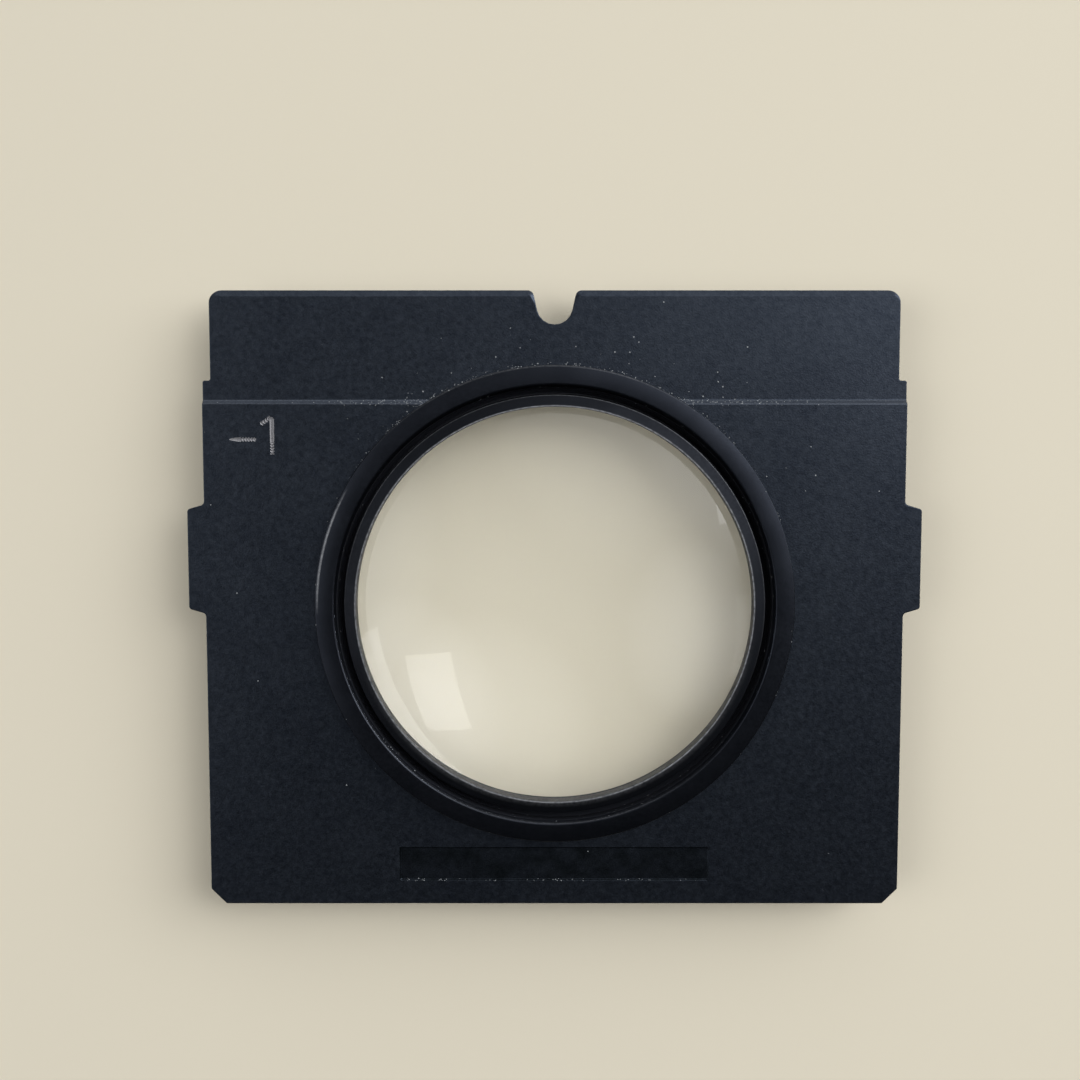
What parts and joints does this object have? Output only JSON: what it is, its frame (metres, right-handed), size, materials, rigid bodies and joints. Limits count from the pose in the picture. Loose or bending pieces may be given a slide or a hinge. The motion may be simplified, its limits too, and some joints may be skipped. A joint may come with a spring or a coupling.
{
  "type": "magnifier lens plate",
  "caption": "Black rectangular plate with a stepped notched tongue and side lugs, carrying a round glass magnifier lens in a raised turned mount for a folding focusing hood.",
  "frame": {"origin": "under the middle of the object's outline, level with the mount's rear rim that it lies on", "axes": "+Z out of the plate's front along the lens axis, +Y towards the notched tongue, +X to the right seen from the front"},
  "size_m": [0.0524, 0.0444, 0.0053],
  "materials": {
    "satin_black_plate": "satin black with a fine grain",
    "black_anodised_mount": "smooth black anodised",
    "lens_glass": "polished clear glass",
    "black_retaining_ring": "smooth black anodised"
  },
  "bodies": {
    "plate": {"lens_plate": "satin_black_plate", "lens_mount": "black_anodised_mount"},
    "ring": {"retaining_ring": "black_retaining_ring"},
    "lens": {"lens": "lens_glass"}
  },
  "joints": [
    {"name": "ring_lift", "type": "slide", "parent": "plate", "child": "ring", "axis": [0, 0, 1], "range_m": [0, 0.012]},
    {"name": "lens_lift", "type": "slide", "parent": "plate", "child": "lens", "axis": [0, 0, 1], "range_m": [0, 0.006]}
  ],
  "couplings": [
    {"joint": "lens_lift", "follows": "ring_lift", "ratio": 0.5}
  ]
}
